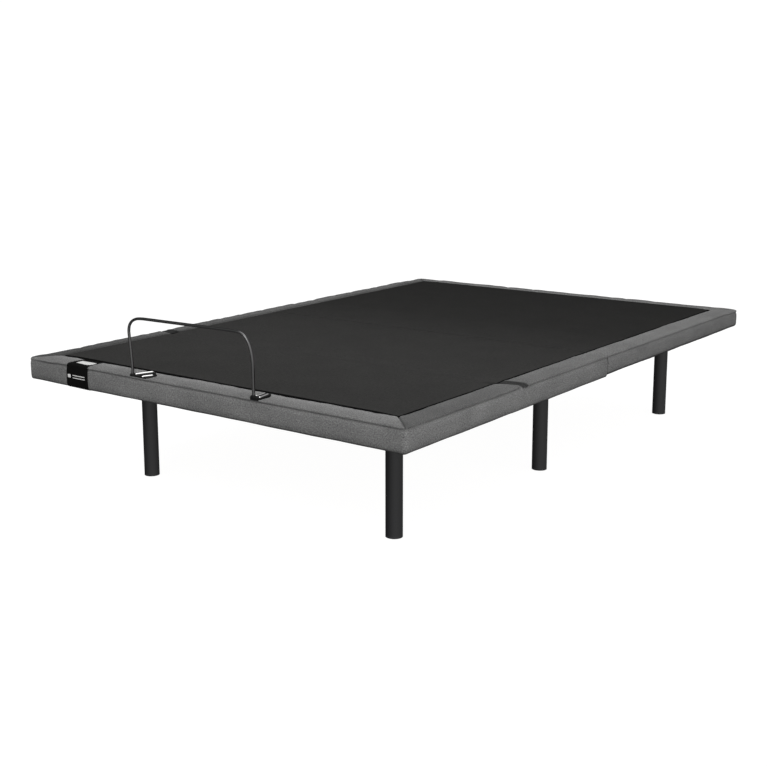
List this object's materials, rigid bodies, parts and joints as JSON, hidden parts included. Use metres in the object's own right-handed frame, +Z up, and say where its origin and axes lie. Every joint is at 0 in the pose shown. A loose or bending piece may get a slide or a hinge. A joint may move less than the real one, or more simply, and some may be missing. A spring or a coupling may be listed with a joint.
{
  "type": "adjustable bed base",
  "caption": "Motorised bed base with a grey padded border, black cloth deck in hinged panels, round black legs, lift arms with linear actuators and a wire mattress retainer.",
  "frame": {"origin": "on the floor, under the middle of the deck", "axes": "+Z up, +Y towards the head end, -Y the foot end with the mattress retainer, X across the bed"},
  "size_m": [1.372, 2.032, 0.5602],
  "materials": {
    "grey_fabric": "heathered woven upholstery",
    "black_fabric": "matt knitted platform cloth",
    "plywood": "unfinished birch plywood",
    "black_steel": "semi-gloss powder coat",
    "zinc_steel": "bright zinc plate",
    "white_nylon": "natural nylon",
    "black_plastic": "fine moulded texture",
    "rubber": "matt",
    "gunmetal_wire": "black nickel, glossy",
    "polished_strip": "bright plated",
    "aluminium_tube": "satin anodised"
  },
  "bodies": {
    "base": {"side_rails": "black_steel", "cross_tubes": "black_steel", "frame_brackets": "black_steel", "lift_bushes": "white_nylon", "rail_pads": "rubber", "seat_spacers": "zinc_steel", "seat_bolts": "zinc_steel", "foot_legs": "black_steel", "middle_legs": "black_steel", "head_legs": "black_steel", "leg_glides": "black_plastic", "seat_board": "plywood", "seat_rim_boards": "plywood", "seat_border": "grey_fabric", "seat_deck_cover": "black_fabric", "seat_hinge_leaves": "zinc_steel", "deck_hinge_pins": "zinc_steel", "control_box": "black_plastic", "power_supply": "black_plastic"},
    "head_panel": {"head_board": "plywood", "head_rim_boards": "plywood", "head_border": "grey_fabric", "head_deck_cover": "black_fabric", "head_stiffeners": "black_steel", "head_glide_strips": "white_nylon", "head_hinge_leaves": "zinc_steel"},
    "thigh_panel": {"thigh_board": "plywood", "thigh_rim_boards": "plywood", "thigh_border": "grey_fabric", "thigh_deck_cover": "black_fabric", "thigh_stiffeners": "black_steel", "thigh_glide_strips": "white_nylon", "thigh_hinge_leaves": "zinc_steel", "thigh_knee_brackets": "black_steel", "knee_pins": "zinc_steel"},
    "foot_panel": {"foot_board": "plywood", "foot_rim_boards": "plywood", "foot_border": "grey_fabric", "foot_deck_cover": "black_fabric", "foot_stiffeners": "black_steel", "foot_knee_brackets": "black_steel", "foot_link_brackets": "black_steel", "retainer_brackets": "black_steel", "retainer_clamp_rails": "polished_strip"},
    "retainer": {"retainer_bar": "gunmetal_wire"},
    "head_lift": {"head_lift_arms": "black_steel"},
    "head_rollers": {"head_lift_rollers": "white_nylon"},
    "foot_lift": {"foot_lift_arms": "black_steel"},
    "foot_rollers": {"foot_lift_rollers": "white_nylon"},
    "links": {"foot_links": "black_steel"},
    "head_drive": {"head_actuator_gearbox": "black_plastic", "head_actuator_motor": "black_steel", "head_actuator_tube": "aluminium_tube", "head_actuator_lead_screw": "zinc_steel"},
    "head_drive_rod": {"head_actuator_rod": "zinc_steel"},
    "foot_drive": {"foot_actuator_gearbox": "black_plastic", "foot_actuator_motor": "black_steel", "foot_actuator_tube": "aluminium_tube", "foot_actuator_lead_screw": "zinc_steel"},
    "foot_drive_rod": {"foot_actuator_rod": "zinc_steel"}
  },
  "joints": [
    {"name": "head_raise", "type": "hinge", "parent": "base", "child": "head_panel", "pos_m": [0, 0.25, 0.381], "axis": [1, 0, 0], "range_deg": [0, 60]},
    {"name": "thigh_raise", "type": "hinge", "parent": "base", "child": "thigh_panel", "pos_m": [0, 0.01, 0.381], "axis": [-1, 0, 0], "range_deg": [0, 32]},
    {"name": "knee_fold", "type": "hinge", "parent": "thigh_panel", "child": "foot_panel", "pos_m": [0, -0.5, 0.332], "axis": [1, 0, 0], "range_deg": [0, 48.5]},
    {"name": "head_lift_turn", "type": "hinge", "parent": "base", "child": "head_lift", "pos_m": [0, 0.27, 0.345], "axis": [1, 0, 0], "range_deg": [0, 61]},
    {"name": "foot_lift_turn", "type": "hinge", "parent": "base", "child": "foot_lift", "pos_m": [0, 0, 0.345], "axis": [-1, 0, 0], "range_deg": [0, 33]},
    {"name": "head_roller_spin", "type": "hinge", "parent": "head_lift", "child": "head_rollers", "pos_m": [0, 0.57, 0.347], "axis": [-1, 0, 0], "range_deg": [0, 135]},
    {"name": "foot_roller_spin", "type": "hinge", "parent": "foot_lift", "child": "foot_rollers", "pos_m": [0, -0.3, 0.347], "axis": [1, 0, 0], "range_deg": [0, 70]},
    {"name": "link_turn", "type": "hinge", "parent": "base", "child": "links", "pos_m": [0, -0.6, 0.313], "axis": [-1, 0, 0], "range_deg": [0, 44]},
    {"name": "head_drive_tilt", "type": "hinge", "parent": "base", "child": "head_drive", "pos_m": [-0.11, -0.4, 0.29], "axis": [1, 0, 0], "range_deg": [0, 0.3]},
    {"name": "head_drive_slide", "type": "slide", "parent": "head_drive", "child": "head_drive_rod", "axis": [0, 0.9993, -0.0383], "range_m": [0, 0.0905]},
    {"name": "foot_drive_tilt", "type": "hinge", "parent": "base", "child": "foot_drive", "pos_m": [0.11, 0.66, 0.29], "axis": [-1, 0, 0], "range_deg": [0, 0.36]},
    {"name": "foot_drive_slide", "type": "slide", "parent": "foot_drive", "child": "foot_drive_rod", "axis": [0, -0.9975, -0.0711], "range_m": [0, 0.0585]},
    {"name": "retainer_lift_out", "type": "slide", "parent": "foot_panel", "child": "retainer", "axis": [0, 0, 1], "range_m": [0, 0.06]}
  ],
  "couplings": [
    {"joint": "knee_fold", "follows": "thigh_raise", "ratio": 1.4936},
    {"joint": "head_lift_turn", "follows": "head_raise", "ratio": 0.998},
    {"joint": "foot_lift_turn", "follows": "thigh_raise", "ratio": 0.999},
    {"joint": "head_roller_spin", "follows": "head_raise", "ratio": 2.175},
    {"joint": "foot_roller_spin", "follows": "thigh_raise", "ratio": 2.089},
    {"joint": "link_turn", "follows": "thigh_raise", "ratio": 1.3553},
    {"joint": "head_drive_tilt", "follows": "head_raise", "ratio": 0.004558},
    {"joint": "head_drive_slide", "follows": "head_raise", "m_per_rad": 0.084934},
    {"joint": "foot_drive_tilt", "follows": "thigh_raise", "ratio": 0.010588},
    {"joint": "foot_drive_slide", "follows": "thigh_raise", "m_per_rad": 0.10254}
  ]
}
